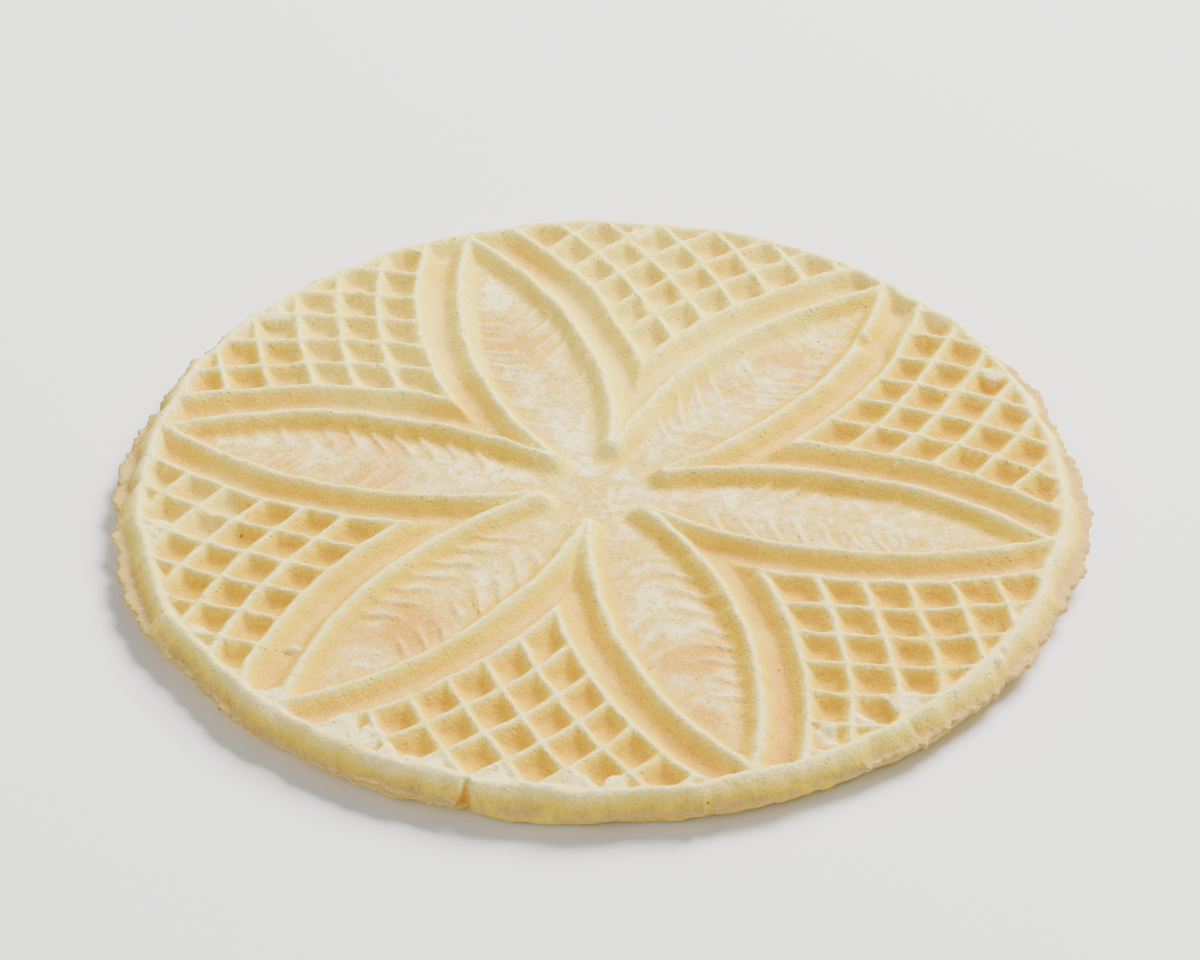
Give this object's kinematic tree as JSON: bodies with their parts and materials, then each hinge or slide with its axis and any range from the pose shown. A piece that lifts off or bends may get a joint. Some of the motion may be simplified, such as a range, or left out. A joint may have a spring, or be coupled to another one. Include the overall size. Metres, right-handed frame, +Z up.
{
  "type": "pizzelle wafer cookie",
  "caption": "Thin round pressed wafer cookie with a petal flower, lattice fans and a raised rim on both faces.",
  "frame": {"origin": "under the middle of the flower, on the surface that the wafer lies on", "axes": "+Z up through the wafer, from the face it lies on to the other face; +X along one petal, from the hub to its tip"},
  "size_m": [0.1297, 0.1286, 0.0058],
  "materials": {
    "baked_wafer": "dry matt baked wafer, pale gold with browner hollows"
  },
  "bodies": {
    "root": {"wafer": "baked_wafer"}
  },
  "joints": []
}
